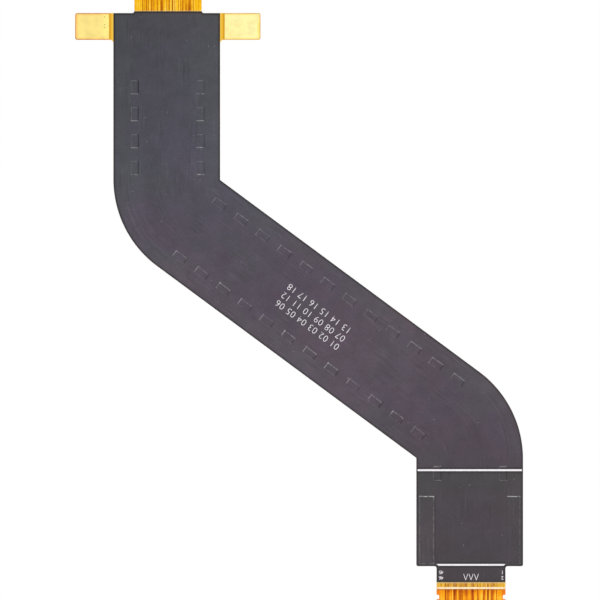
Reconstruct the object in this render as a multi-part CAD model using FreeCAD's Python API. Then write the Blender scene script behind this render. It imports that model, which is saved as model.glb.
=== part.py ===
import FreeCAD, Part
import math
import os

# Flat flex cable: a die-cut, laminated strip with two stiffened contact tips and two ground tabs.
# X runs across the legs, Y along them, Z up through the layers. The cable lies on its rear face.
# Lengths are in millimetres, angles in degrees.

# Outline of the strip
body_width = 24.0
upper_leg_length = 37.4
diagonal_length = 72.4
lower_leg_length = 24.2
bend_angle = 53.5
inner_bend_radius = 0.3
body_corner_radius = 0.4

# Ground tabs at the top of the upper leg
tab_width = 6.0
left_tab_length = 8.6
right_tab_length = 9.1
tab_corner_radius = 0.45
tab_root_radius = 0.8
left_tab_cover_length = 0.98
right_tab_cover_length = 1.05

# Tails that carry the contact tips
tail_offset = 0.3
tip_width = 15.5
panel_neck_width = 15.15
set_neck_width = 15.5
panel_neck_length = 4.2
set_neck_length = 4.7
tail_root_radius = 0.5
tip_length = 4.9
tip_corner_chamfer = 0.35
notch_depth = 0.58
notch_width = 1.0
notch_from_tip = 2.15
notch_corner_chamfer = 0.15

# Layers, from the rear face up
shield_thickness = 0.018
coverlay_thickness = 0.04
copper_thickness = 0.018
base_thickness = 0.025
plating_thickness = 0.005
stiffener_thickness = 0.2
ink_thickness = 0.012

# Shield films
film_inset = 0.02
film_reach_panel = 0.4
film_reach_set = 3.6

# Contacts and conductors
contact_pitch = 0.3
contact_count = 46
contact_pad_width = 0.3
contact_pad_length = 1.1
contact_row_gap = 0.4
contact_tip_margin = 0.25
contact_bared_length = 3.3
signal_width = 0.1
supply_width = 0.42
contacts_per_group = 4
copper_margin = 0.5
tab_copper_margin = 0.2
tail_copper_margin = 0.3
pad_corner_radius = 0.3

# Ground windows in the front coverlay
window_width = 1.6
window_length = 3.0
window_pitch = 6.06
window_wall = 0.1
left_window_inset = 4.8
right_window_inset = 4.4
diagonal_windows = 12
leg_windows = 4
leg_window_gap = 2.55
fold_window_gap = 3.3
long_window_length = 15.2
left_long_window_width = 3.3
right_long_window_width = 2.9
left_long_window_inset = 2.3
right_long_window_inset = 2.12
long_window_end_gap = 0.6

# Vias between the two copper layers
via_width = 0.3
via_sides = 8
via_pitch = 1.8
via_count = 3
via_edge_gap = 1.2

# Printed lines
ink_edge_gap = 0.27
fold_line_width = 0.42
fold_line_from_bend = 2.6
tail_line_width = 0.4
tail_line_above_edge = 0.5
insertion_line_width = 0.45
insertion_line_gap = 0.15

# Directions and bends worked out from the outline
turn = math.radians(bend_angle)
bend_reach = math.tan(turn / 2)
along_diagonal = (math.sin(turn), -math.cos(turn))
across_diagonal = (-math.cos(turn), -math.sin(turn))
bend_span = body_width + 2 * inner_bend_radius
bend_shift_x = diagonal_length * along_diagonal[0] + bend_span * across_diagonal[0]
bend_shift_y = diagonal_length * along_diagonal[1] + bend_span * across_diagonal[1]
leg_shift = bend_shift_x + 2 * inner_bend_radius

# The middle of the outline is the origin
panel_tail_length = panel_neck_length + tip_length
set_tail_length = set_neck_length + tip_length
total_width = left_tab_length + body_width + leg_shift + body_width
total_height = panel_tail_length + upper_leg_length - bend_shift_y + lower_leg_length + set_tail_length
upper_left = -total_width / 2 + left_tab_length
upper_right = upper_left + body_width
lower_left = upper_right + leg_shift
lower_right = lower_left + body_width
panel_tip = total_height / 2
body_top = panel_tip - panel_tail_length
upper_bend = body_top - upper_leg_length
lower_bend = upper_bend + bend_shift_y
body_bottom = lower_bend - lower_leg_length
set_tip = body_bottom - set_tail_length

# The conductor field is centred on the tails, so it lies off the middle of the strip
field_lane = body_width / 2 - tail_offset
panel_tail = upper_right - field_lane
set_tail = lower_right - field_lane
outer_ground_line = (contact_count / 2 - 1) * contact_pitch
inner_ground_line = outer_ground_line - 2 * contact_pitch
field_edge = inner_ground_line - supply_width / 2

# Heights of the layers
rear_coverlay_bottom = shield_thickness
conductor_bottom = rear_coverlay_bottom + coverlay_thickness
base_bottom = conductor_bottom + copper_thickness
base_top = base_bottom + base_thickness
foil_top = base_top + copper_thickness
coverlay_top = foil_top + coverlay_thickness
film_top = coverlay_top + shield_thickness

# Distances of the two rows of contact pads from a tip
front_row = (contact_tip_margin, contact_tip_margin + contact_pad_length)
rear_row = (front_row[1] + contact_row_gap, front_row[1] + contact_row_gap + contact_pad_length)


def rounded_outline(corners):
    """Closed wire through corners (x, y, radius), with an arc wherever the radius is not zero."""
    stops = []
    for index, (x, y, radius) in enumerate(corners):
        corner = FreeCAD.Vector(x, y, 0)
        if radius == 0:
            stops.append((corner, corner, corner))
            continue
        back = FreeCAD.Vector(*corners[index - 1][:2], 0) - corner
        ahead = FreeCAD.Vector(*corners[(index + 1) % len(corners)][:2], 0) - corner
        half = back.getAngle(ahead) / 2
        back.normalize()
        ahead.normalize()
        middle = (back + ahead).normalize()
        start = corner + back * (radius / math.tan(half))
        end = corner + ahead * (radius / math.tan(half))
        crown = corner + middle * (radius / math.sin(half) - radius)
        stops.append((start, crown, end))
    edges = []
    for index, (start, crown, end) in enumerate(stops):
        if start != end:
            edges.append(Part.Arc(start, crown, end).toShape())
        following = stops[(index + 1) % len(stops)][0]
        if end.distanceToPoint(following) > 1e-6:
            edges.append(Part.LineSegment(end, following).toShape())
    return Part.Wire(edges)


def plate(corners, bottom, top):
    """Flat solid with the given outline between two heights."""
    face = Part.Face(rounded_outline(corners))
    face.translate(FreeCAD.Vector(0, 0, bottom))
    return face.extrude(FreeCAD.Vector(0, 0, top - bottom))


def block(left, right, low, high, bottom, top):
    """Box between two places along each axis."""
    return Part.makeBox(right - left, high - low, top - bottom, FreeCAD.Vector(left, low, bottom))


def upper_bend_corner(lane):
    """Corner of a line that runs at a distance, its lane, from the right edge of the strip."""
    radius = inner_bend_radius + lane
    return (upper_right - lane, upper_bend - radius * bend_reach, radius)


def lower_bend_corner(lane):
    """The same line's corner at the lower bend, which turns the other way."""
    radius = inner_bend_radius + body_width - lane
    return (lower_right - lane, lower_bend + radius * bend_reach, radius)


def tail_side(tail, body_edge, tip, neck_width, side, inset):
    """Corners of one side of a tail, from its root to its tip. Side is 1 right, -1 left."""
    out = 1 if tip > body_edge else -1
    neck = tail + side * (neck_width / 2 - inset)
    edge = tail + side * (tip_width / 2 - inset)
    waist = tail + side * (tip_width / 2 - notch_depth - inset)
    shoulder = tip - out * tip_length
    notch_start = tip - out * (notch_from_tip + notch_width + inset)
    notch_end = tip - out * (notch_from_tip - inset)
    flat = side * notch_corner_chamfer
    rise = out * notch_corner_chamfer
    bevel = tip_corner_chamfer
    corners = [(neck, body_edge - out * inset, tail_root_radius + inset)]
    if tip_width != neck_width:
        corners += [(neck, shoulder, 0), (edge, shoulder, 0)]
    corners += [(edge, notch_start, 0), (waist + flat, notch_start, 0), (waist, notch_start + rise, 0)]
    corners += [(waist, notch_end - rise, 0), (waist + flat, notch_end, 0), (edge, notch_end, 0)]
    corners += [(edge, tip - out * (inset + bevel), 0), (edge - side * bevel, tip - out * inset, 0)]
    return corners


def tab_corners(side, body_edge, length):
    """Corners of a ground tab, from its top outer corner to its root."""
    end = body_edge + side * length
    low = body_top - tab_width
    outer = [(end, body_top, tab_corner_radius), (end, low, tab_corner_radius)]
    return outer + [(body_edge, low, tab_root_radius)]


def cable_outline(inset, with_tabs):
    """Corners of the whole die-cut outline, clockwise from the panel tail's left side."""
    panel = (panel_tail, body_top, panel_tip, panel_neck_width)
    set_end = (set_tail, body_bottom, set_tip, set_neck_width)
    corner = body_corner_radius
    corners = tail_side(*panel, -1, inset)
    corners += reversed(tail_side(*panel, 1, inset))
    if with_tabs:
        corners += tab_corners(1, upper_right, right_tab_length)
    else:
        corners += [(upper_right - inset, body_top - inset, 0)]
    corners += [upper_bend_corner(inset), lower_bend_corner(inset)]
    corners += [(lower_right - inset, body_bottom + inset, corner)]
    corners += tail_side(*set_end, 1, inset)
    corners += reversed(tail_side(*set_end, -1, inset))
    corners += [(lower_left + inset, body_bottom + inset, corner)]
    corners += [lower_bend_corner(body_width - inset), upper_bend_corner(body_width - inset)]
    if with_tabs:
        corners += reversed(tab_corners(-1, upper_left, left_tab_length))
    else:
        corners += [(upper_left + inset, body_top - inset, 0)]
    return corners


def laminate(bottom, top):
    """Full outline with tabs and tails, between two heights."""
    return plate(cable_outline(0, True), bottom, top)


def across_cable(low, high, bottom, top):
    """Block over the whole width of the cable between two places along Y."""
    return block(-total_width, total_width, low, high, bottom, top)


def wide_end():
    """Steps of a wide conductor's end: one pad in the rear row, the next in the front row."""
    half = supply_width / 2
    return [
        (-half, rear_row[1]),
        (-contact_pad_width, rear_row[1]),
        (-contact_pad_width, rear_row[0]),
        (0, rear_row[0]),
        (0, front_row[0]),
        (contact_pad_width, front_row[0]),
        (contact_pad_width, front_row[1]),
        (half, front_row[1]),
    ]


def signal_end(row):
    """Steps of a signal line's end: one pad in the given row."""
    half_line = signal_width / 2
    half_pad = contact_pad_width / 2
    return [
        (-half_line, row[1]),
        (-half_pad, row[1]),
        (-half_pad, row[0]),
        (half_pad, row[0]),
        (half_pad, row[1]),
        (half_line, row[1]),
    ]


def conductor(offset, width, end):
    """Copper line from tip to tip, at an offset from the middle of the conductor field."""
    right_lane = field_lane - offset - width / 2
    left_lane = field_lane - offset + width / 2
    corners = [(panel_tail + offset + step, panel_tip - reach, 0) for step, reach in end]
    corners += [upper_bend_corner(right_lane), lower_bend_corner(right_lane)]
    corners += [(set_tail + offset + step, set_tip + reach, 0) for step, reach in reversed(end)]
    corners += [lower_bend_corner(left_lane), upper_bend_corner(left_lane)]
    return plate(corners, conductor_bottom, base_bottom)


def contact_offset(index):
    """Place of a contact across the field, counted from the left."""
    return (index - (contact_count - 1) / 2) * contact_pitch


def contact_row(index):
    """Contacts take turns: the first, third and so on lie in the rear row."""
    return rear_row if index % 2 == 0 else front_row


def grouped_contacts():
    """Left contact of each group: two contacts of one wide line, then two of a signal pair."""
    return range(contacts_per_group, contact_count - contacts_per_group, contacts_per_group)


def supply_conductors():
    """Wide supply lines, each over two contacts."""
    lines = [contact_offset(index) + contact_pitch / 2 for index in grouped_contacts()]
    return [conductor(offset, supply_width, wide_end()) for offset in lines]


def signal_conductor(index):
    """Thin signal line that joins the contacts of one number at both tips."""
    return conductor(contact_offset(index), signal_width, signal_end(contact_row(index)))


def signal_conductors():
    """Signal lines, which run in pairs between the supply lines."""
    pairs = [(first + 2, first + 3) for first in grouped_contacts()][:-1]
    return [signal_conductor(index) for pair in pairs for index in pair]


def ground_lanes(side):
    """Lanes of the inner and outer edge of a ground strip. Side is 1 right, -1 left."""
    if side > 0:
        return (field_lane - field_edge, copper_margin)
    return (field_lane + field_edge, body_width - copper_margin)


def ground_strip(side, bottom, top):
    """Broad copper strip along one edge of the body."""
    inner, outer = ground_lanes(side)
    high = body_top - copper_margin
    low = body_bottom + copper_margin
    corners = [(upper_right - inner, high, 0), upper_bend_corner(inner), lower_bend_corner(inner)]
    corners += [(lower_right - inner, low, 0), (lower_right - outer, low, 0)]
    corners += [lower_bend_corner(outer), upper_bend_corner(outer), (upper_right - outer, high, 0)]
    return plate(corners, bottom, top)


def neck_ground(side, tail, neck_width, low, high):
    """Copper that broadens a ground line along a tail's neck."""
    inner = tail + side * field_edge
    outer = tail + side * (neck_width / 2 - tail_copper_margin)
    return block(min(inner, outer), max(inner, outer), low, high, conductor_bottom, base_bottom)


def rear_ground(side):
    """Ground copper of the rear layer: edge strip, necks and the last four contacts."""
    inner = conductor(side * inner_ground_line, supply_width, wide_end())
    outer = conductor(side * outer_ground_line, supply_width, wide_end())
    strip = ground_strip(side, conductor_bottom, base_bottom)
    panel = neck_ground(side, panel_tail, panel_neck_width, body_top - copper_margin, panel_tip - tip_length)
    set_end = neck_ground(side, set_tail, set_neck_width, set_tip + tip_length, body_bottom + copper_margin)
    return inner.fuse([outer, strip, panel, set_end]).removeSplitter()


def front_foil(side):
    """Ground copper of the front layer: edge strip with the pad of its tab."""
    body_edge, length = (upper_right, right_tab_length) if side > 0 else (upper_left, left_tab_length)
    outer = ground_lanes(side)[1]
    root = upper_right - outer - side * copper_margin
    end = body_edge + side * (length - tab_copper_margin)
    high = body_top - tab_copper_margin
    low = body_top - tab_width + tab_copper_margin
    pad = [(root, high, 0), (end, high, pad_corner_radius), (end, low, pad_corner_radius), (root, low, 0)]
    strip = ground_strip(side, base_top, foil_top)
    return strip.fuse(plate(pad, base_top, foil_top)).removeSplitter()


def via(x, y):
    """Plated barrel through the base film, with flats in place of its round wall."""
    step = 2 * math.pi / via_sides
    angles = [step * (index + 0.5) for index in range(via_sides)]
    reach = via_width / 2 / math.cos(step / 2)
    corners = [(x + reach * math.cos(angle), y + reach * math.sin(angle), 0) for angle in angles]
    return plate(corners, base_bottom, base_top)


def via_solids():
    """A row of vias in each ground strip, beside the root of its tab."""
    middle = body_top - tab_width / 2
    rows = [middle + (index - (via_count - 1) / 2) * via_pitch for index in range(via_count)]
    sides = (upper_left + via_edge_gap, upper_right - via_edge_gap)
    return [via(x, y) for x in sides for y in rows]


def on_diagonal(station, lane):
    """Point of the diagonal run at a station after the upper bend and a lane from its right edge."""
    out = inner_bend_radius + lane
    x = upper_right + inner_bend_radius + station * along_diagonal[0] + out * across_diagonal[0]
    y = upper_bend + station * along_diagonal[1] + out * across_diagonal[1]
    return (x, y)


def windows():
    """Each ground window as its centre, width, length and turn about Z."""
    lanes = (body_width - left_window_inset, right_window_inset)
    size = (window_width, window_length)
    found = []
    for lane in lanes:
        for index in range(leg_windows):
            y = upper_bend + leg_window_gap + index * window_pitch
            found.append((upper_right - lane, y, *size, 0))
        start = (diagonal_length - (diagonal_windows - 1) * window_pitch) / 2
        for index in range(diagonal_windows):
            x, y = on_diagonal(start + index * window_pitch, lane)
            found.append((x, y, *size, bend_angle))
        found.append((lower_right - lane, lower_bend - fold_window_gap, *size, 0))
    middle = body_bottom + long_window_end_gap + long_window_length / 2
    left = lower_left + left_long_window_inset
    right = lower_right - right_long_window_inset
    found.append((left, middle, left_long_window_width, long_window_length, 0))
    found.append((right, middle, right_long_window_width, long_window_length, 0))
    return found


def window_blocks(shrink, bottom, top):
    """One block for each window, smaller by shrink on every side."""
    blocks = []
    for x, y, width, length, angle in windows():
        half_width = width / 2 - shrink
        half_length = length / 2 - shrink
        box = block(-half_width, half_width, -half_length, half_length, bottom, top)
        box.rotate(FreeCAD.Vector(0, 0, 0), FreeCAD.Vector(0, 0, 1), angle)
        box.translate(FreeCAD.Vector(x, y, 0))
        blocks.append(box)
    return blocks


def film_outline(bottom, top):
    """Outline of a shield film: the body and short lengths of both tails."""
    sheet = plate(cable_outline(film_inset, False), bottom, top)
    low = body_bottom - film_reach_set
    high = body_top + film_reach_panel
    return sheet.common(across_cable(low, high, bottom, top))


def rear_shield_film():
    """Plain black film on the rear face."""
    return film_outline(0, rear_coverlay_bottom)


def tail_hollow(tail, neck_width, low, high):
    """Room for the conductors of a tail, between two places along it."""
    half = neck_width / 2 - tail_copper_margin
    return block(tail - half, tail + half, low, high, conductor_bottom, base_bottom)


def rear_coverlay():
    """Cover over the rear copper, with a hollow for the conductors and bared contact tips."""
    sheet = laminate(rear_coverlay_bottom, base_bottom)
    body = [(upper_left + copper_margin, body_top - copper_margin, 0)]
    body += [(upper_right - copper_margin, body_top - copper_margin, 0)]
    body += [upper_bend_corner(copper_margin), lower_bend_corner(copper_margin)]
    body += [(lower_right - copper_margin, body_bottom + copper_margin, 0)]
    body += [(lower_left + copper_margin, body_bottom + copper_margin, 0)]
    lane = body_width - copper_margin
    body += [lower_bend_corner(lane), upper_bend_corner(lane)]
    field = plate(body, conductor_bottom, base_bottom)
    panel = tail_hollow(panel_tail, panel_neck_width, body_top - copper_margin, panel_tip)
    set_end = tail_hollow(set_tail, set_neck_width, set_tip, body_bottom + copper_margin)
    panel_bare = across_cable(panel_tip - contact_bared_length, panel_tip, 0, base_bottom)
    set_bare = across_cable(set_tip, set_tip + contact_bared_length, 0, base_bottom)
    return sheet.cut([field, panel, set_end, panel_bare, set_bare])


def base_film():
    """Carrier film of the whole cable, with a hole for each via."""
    return laminate(base_bottom, base_top).cut(via_solids())


def front_coverlay():
    """Cover over the front copper, open at the tab pads and at the ground windows."""
    sheet = laminate(base_top, coverlay_top)
    low = body_top - tab_width - tab_root_radius
    high = body_top + tab_root_radius
    left_end = upper_left - left_tab_cover_length
    right_end = upper_right + right_tab_cover_length
    left_tab = block(left_end - left_tab_length, left_end, low, high, base_top, coverlay_top)
    right_tab = block(right_end, right_end + right_tab_length, low, high, base_top, coverlay_top)
    openings = window_blocks(0, foil_top, coverlay_top)
    return sheet.cut([front_foil(-1), front_foil(1), left_tab, right_tab] + openings)


def front_shield_film():
    """Black film on the front face, pressed down through every window on to the ground copper."""
    sheet = film_outline(coverlay_top, film_top)
    trays = window_blocks(0, foil_top, film_top)
    hollows = window_blocks(window_wall, foil_top + shield_thickness, film_top)
    return sheet.fuse(trays).removeSplitter().cut(hollows)


def tab_plating(side):
    """Gold on the bared part of a tab pad."""
    foil = front_foil(side)
    foil.translate(FreeCAD.Vector(0, 0, copper_thickness))
    start = upper_right + right_tab_cover_length if side > 0 else upper_left - left_tab_cover_length
    end = start + side * total_width
    low = body_top - tab_width
    area = block(min(start, end), max(start, end), low, body_top, foil_top, foil_top + plating_thickness)
    return foil.common(area)


def contact_plating(tail, tip):
    """Gold on the contact pads of one tip, one pad for each contact."""
    out = 1 if tip > 0 else -1
    half = contact_pad_width / 2
    bottom = conductor_bottom - plating_thickness
    pads = []
    for index in range(contact_count):
        x = tail + contact_offset(index)
        ends = [tip - out * reach for reach in contact_row(index)]
        pads.append(block(x - half, x + half, min(ends), max(ends), bottom, conductor_bottom))
    return pads


def stiffener(tip):
    """Stiff plate on the front of a tip, cut with the tip's own outline."""
    out = 1 if tip > 0 else -1
    start = tip - out * (tip_length - insertion_line_width - insertion_line_gap)
    top = coverlay_top + stiffener_thickness
    area = across_cable(min(start, tip), max(start, tip), coverlay_top, top)
    return laminate(coverlay_top, top).common(area)


def insertion_line(tail, tip):
    """White line across a tip that shows how far it goes into its socket."""
    out = 1 if tip > 0 else -1
    start = tip - out * tip_length
    end = start + out * insertion_line_width
    half = tip_width / 2 - insertion_line_gap
    top = coverlay_top + ink_thickness
    return block(tail - half, tail + half, min(start, end), max(start, end), coverlay_top, top)


def fold_line():
    """White line across the lower leg, where the cable is folded."""
    high = lower_bend - fold_line_from_bend + fold_line_width / 2
    left = lower_left + ink_edge_gap
    right = lower_right - ink_edge_gap
    return block(left, right, high - fold_line_width, high, film_top, film_top + ink_thickness)


def tail_line():
    """White line across the root of the set tail, with slanted ends."""
    top = body_bottom + tail_line_above_edge
    low = top - tail_line_width
    half = set_neck_width / 2
    corners = [(set_tail - half, top, 0), (set_tail + half, top, 0)]
    corners += [(set_tail + half - tail_line_width, low, 0), (set_tail - half + tail_line_width, low, 0)]
    return plate(corners, film_top, film_top + ink_thickness)


def write_node(name, solids):
    """One file for each sub-part."""
    shape = solids[0] if len(solids) == 1 else Part.makeCompound(solids)
    shape.exportStep("parts/" + name + ".step")


os.makedirs("parts", exist_ok=True)
write_node("rear_shield_film", [rear_shield_film()])
write_node("rear_coverlay", [rear_coverlay()])
write_node("signal_conductors", signal_conductors())
write_node("supply_conductors", supply_conductors())
write_node("left_rear_ground", [rear_ground(-1)])
write_node("right_rear_ground", [rear_ground(1)])
write_node("base_film", [base_film()])
write_node("ground_vias", via_solids())
write_node("left_front_ground", [front_foil(-1)])
write_node("right_front_ground", [front_foil(1)])
write_node("front_coverlay", [front_coverlay()])
write_node("front_shield_film", [front_shield_film()])
write_node("left_tab_plating", [tab_plating(-1)])
write_node("right_tab_plating", [tab_plating(1)])
write_node("panel_contact_plating", contact_plating(panel_tail, panel_tip))
write_node("set_contact_plating", contact_plating(set_tail, set_tip))
write_node("panel_stiffener", [stiffener(panel_tip)])
write_node("set_stiffener", [stiffener(set_tip)])
write_node("panel_insertion_line", [insertion_line(panel_tail, panel_tip)])
write_node("set_insertion_line", [insertion_line(set_tail, set_tip)])
write_node("fold_line", [fold_line()])
write_node("tail_line", [tail_line()])
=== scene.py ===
import functools
import math

import bmesh
import bpy
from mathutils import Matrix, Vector, geometry, kdtree, noise


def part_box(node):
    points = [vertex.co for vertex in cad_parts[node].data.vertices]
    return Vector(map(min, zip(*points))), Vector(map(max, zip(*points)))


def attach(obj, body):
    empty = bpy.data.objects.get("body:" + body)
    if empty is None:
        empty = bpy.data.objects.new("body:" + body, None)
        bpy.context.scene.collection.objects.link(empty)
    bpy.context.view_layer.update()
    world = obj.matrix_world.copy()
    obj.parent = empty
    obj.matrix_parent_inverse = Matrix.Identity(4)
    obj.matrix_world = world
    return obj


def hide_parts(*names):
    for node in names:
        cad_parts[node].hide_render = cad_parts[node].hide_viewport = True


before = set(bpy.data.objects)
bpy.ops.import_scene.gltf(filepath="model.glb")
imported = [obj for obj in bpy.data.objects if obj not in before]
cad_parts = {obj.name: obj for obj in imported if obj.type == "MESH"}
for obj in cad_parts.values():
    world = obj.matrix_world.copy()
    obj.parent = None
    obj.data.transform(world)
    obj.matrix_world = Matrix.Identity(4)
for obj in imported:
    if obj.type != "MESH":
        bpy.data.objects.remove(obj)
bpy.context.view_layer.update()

# Flat flex cable: looks of every layer that shows. Lengths are in millimetres until a mesh is made.
MM = 0.001

# Outline of the strip, as in the construction
body_width = 24.0
upper_leg_length = 37.4
diagonal_length = 72.4
lower_leg_length = 24.2
bend_angle = 53.5
inner_bend_radius = 0.3
body_corner_radius = 0.4
tail_offset = 0.3
tail_root_radius = 0.5
panel_neck_width = 15.15
set_neck_width = 15.5
tip_length = 4.9
tip_width = 15.5
tip_chamfer = 0.35
notch_depth = 0.58
notch_width = 1.0
notch_from_tip = 2.15
notch_chamfer = 0.15
tab_width = 6.0
tab_root_radius = 0.8
left_tab_cover_length = 0.98
right_tab_cover_length = 1.05

# Conductors
supply_width = 0.42
supply_pitch = 1.2
supply_count = 10
signal_from_supply = 0.45
ground_edge = 5.79

# Ground windows
window_width = 1.6
window_length = 3.0
window_pitch = 6.06
left_window_inset = 4.8
right_window_inset = 4.4
diagonal_windows = 12
leg_windows = 4
leg_window_gap = 2.55
fold_window_gap = 3.3
long_window_length = 15.2
left_long_window_width = 3.3
right_long_window_width = 2.9
left_long_window_inset = 2.3
right_long_window_inset = 2.12
long_window_end_gap = 0.6
window_corner_radius = 0.22
pocket_slope = 0.14
pocket_lip = 0.005
lip_reach = 0.16
ring_depths = (-0.6, -0.46, -0.36, -0.26, -0.16, -0.08, 0.0, 0.047, 0.093, 0.14, 0.22, 0.3, 0.38)
edge_wobble = 0.03
wobble_length = 0.9

# Painted highlight and shade lines at the edges of the windows: side, strength (painted shade below 0,
# painted highlight above) and depth inside the edge
left_leg_edge_light = [("ahead", 2.4, 0.02), ("left", 0.5, 0.07), ("right", -0.9, 0.0)]
right_leg_edge_light = [("ahead", 3.6, 0.04), ("right", -0.35, -0.12)]
left_diagonal_edge_light = [("ahead", -0.6, -0.09), ("behind", 1.6, 0.04), ("left", 0.6, 0.0), ("right", 1.5, 0.22)]
right_diagonal_edge_light = [("ahead", -0.4, -0.11), ("behind", 0.8, 0.04), ("left", 0.8, 0.1), ("right", 1.4, 0.0)]
fold_edge_light = [("behind", 1.6, -0.06), ("ahead", 1.5, -0.05), ("left", 0.6, -0.1), ("right", -0.4, 0.0)]
left_long_edge_light = [
    ("behind", 4.8, 0.12), ("left", 0.7, 0.07), ("right", 0.9, 0.09),
    ("right", -0.7, -0.3), ("ahead", 0.9, 0.0),
]
right_long_edge_light = [("behind", 2.8, 0.12), ("left", 0.2, 0.2), ("right", 1.3, 0.05), ("ahead", 0.3, 0.0)]
highlight_reach = 0.15
shade_reach = 0.22
edge_light_spread_step = 3.7
edge_light_base = 0.9
edge_light_spread = 0.8
edge_light_end_share = 0.8
edge_light_end_fade = 0.15

# Surface relief
rim_width = 0.16
rim_drop = 0.005
rim_shade_width = 0.62
rim_rings = (rim_width, 0.34, rim_shade_width)
ridge_height = 0.006
ridge_slope = 0.12
wave_height = 0.0016
wave_length = 7.0
tip_clearance = 0.05
panel_ridge_gap = 0.3
set_ridge_gap = 0.6
panel_flat_reach = 0.25
set_flat_reach = 0.5

# Steps of the meshes
fill_spacing = 1.2
fill_clearance = 4 * lip_reach
route_step = 0.9
ring_step = 0.5
least_ring_radius = 0.04
arc_step = math.radians(1.6)
least_arc_steps = 4
small_arc_radius = 1.0
small_arc_steps = 5
sharp_angle = math.radians(32)
merge_reach = 1e-5


def box_mm(node):
    """Lowest and highest corner of a node, in millimetres."""
    low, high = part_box(node)
    return low / MM, high / MM


# Places and heights read from the frame
strip_low, strip_high = box_mm("base_film")
film_low, film_high = box_mm("front_shield_film")
rear_film_high = box_mm("rear_shield_film")[1].z
cover_low, cover_high = box_mm("front_coverlay")
foil_top = box_mm("left_front_ground")[1].z
left_pad = box_mm("left_tab_plating")
right_pad = box_mm("right_tab_plating")
set_line_low = box_mm("set_insertion_line")[0].y
fold_line_middle = sum(corner.y for corner in box_mm("fold_line")) / 2
tail_line_middle = sum(corner.y for corner in box_mm("tail_line")) / 2
film_top = film_high.z
film_thickness = film_top - cover_high.z
pocket_depth = cover_high.z - foil_top

turn = math.radians(bend_angle)
along = Vector((math.sin(turn), -math.cos(turn)))
across = Vector((-math.cos(turn), -math.sin(turn)))
bend_span = body_width + 2 * inner_bend_radius
bend_shift = along * diagonal_length + across * bend_span
lower_right = strip_high.x
lower_left = lower_right - body_width
upper_right = lower_left - bend_shift.x - 2 * inner_bend_radius
upper_left = upper_right - body_width
field_lane = body_width / 2 - tail_offset
panel_tail = upper_right - field_lane
set_tail = lower_right - field_lane
panel_tip = strip_high.y
set_tip = strip_low.y
body_height = upper_leg_length - bend_shift.y + lower_leg_length
film_reach_sum = film_high.y - film_low.y - body_height
film_reach_set = 3.6
body_top = film_high.y - (film_reach_sum - film_reach_set)
body_bottom = body_top - body_height
tab_root = body_top - tab_width
upper_bend = body_top - upper_leg_length
lower_bend = upper_bend + bend_shift.y
upper_centre = Vector((upper_right + inner_bend_radius, upper_bend))
lower_centre = Vector((lower_left - inner_bend_radius, lower_bend))
middle_radius = inner_bend_radius + body_width / 2
bend_length = turn * middle_radius

# Stations along the middle of the strip where its straight runs begin and end
upper_bend_start = upper_leg_length
diagonal_start = upper_bend_start + bend_length
lower_bend_start = diagonal_start + diagonal_length
lower_leg_start = lower_bend_start + bend_length
route_end = lower_leg_start + lower_leg_length


def route_point(station, lane):
    """Place of a station along the strip and a lane, the distance from its right edge."""
    if station <= upper_bend_start:
        return Vector((upper_right - lane, body_top - station))
    if station <= diagonal_start:
        angle = (station - upper_bend_start) / middle_radius
        radius = inner_bend_radius + lane
        return upper_centre - radius * Vector((math.cos(angle), math.sin(angle)))
    if station <= lower_bend_start:
        run = station - diagonal_start
        return upper_centre + along * run + across * (inner_bend_radius + lane)
    if station <= lower_leg_start:
        angle = (lower_leg_start - station) / middle_radius
        radius = inner_bend_radius + body_width - lane
        return lower_centre + radius * Vector((math.cos(angle), math.sin(angle)))
    return Vector((lower_right - lane, lower_bend - (station - lower_leg_start)))


def route_place(x, y):
    """Station and lane of a place, the reverse of route_point."""
    upper = Vector((x, y)) - upper_centre
    lower = Vector((x, y)) - lower_centre
    if upper.y >= 0 and x < upper_centre.x + tab_width * 2:
        return body_top - y, upper_right - x
    if lower.y <= 0 and x > lower_centre.x - tab_width:
        return lower_leg_start - lower.y, lower_right - x
    run = upper.dot(along)
    if run < 0:
        angle = math.atan2(-upper.y, -upper.x)
        return upper_bend_start + angle * middle_radius, upper.length - inner_bend_radius
    if run <= diagonal_length:
        return diagonal_start + run, upper.dot(across) - inner_bend_radius
    angle = math.atan2(lower.y, lower.x)
    return lower_leg_start - angle * middle_radius, body_width + inner_bend_radius - lower.length


def arc_points(corner, before, after, radius):
    """Points of the arc that rounds a corner."""
    if radius <= 0:
        return [corner]
    back = (before - corner).normalized()
    ahead = (after - corner).normalized()
    half = back.angle(ahead) / 2
    reach = radius / math.tan(half)
    centre = corner + (back + ahead).normalized() * (radius / math.sin(half))
    first = corner + back * reach - centre
    last = corner + ahead * reach - centre
    sweep = math.atan2(first.x * last.y - first.y * last.x, first.dot(last))
    count = small_arc_steps
    if radius > small_arc_radius:
        count = max(least_arc_steps, math.ceil(abs(sweep) / arc_step))
    points = []
    for index in range(count + 1):
        angle = sweep * index / count
        cos, sin = math.cos(angle), math.sin(angle)
        points.append(centre + Vector((first.x * cos - first.y * sin, first.x * sin + first.y * cos)))
    return points


def rounded_loop(corners):
    """Closed loop of points through corners (x, y, radius)."""
    spots = [Vector((x, y)) for x, y, radius in corners]
    loop = []
    for index, corner in enumerate(corners):
        after = spots[(index + 1) % len(spots)]
        loop += arc_points(spots[index], spots[index - 1], after, corner[2])
    return loop


def bend_corners(lane):
    """Corners of both bends along a lane, the upper one first."""
    upper = inner_bend_radius + lane
    lower = inner_bend_radius + body_width - lane
    upper_y = upper_bend - upper * math.tan(turn / 2)
    lower_y = lower_bend + lower * math.tan(turn / 2)
    return [(upper_right - lane, upper_y, upper), (lower_right - lane, lower_y, lower)]


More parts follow.
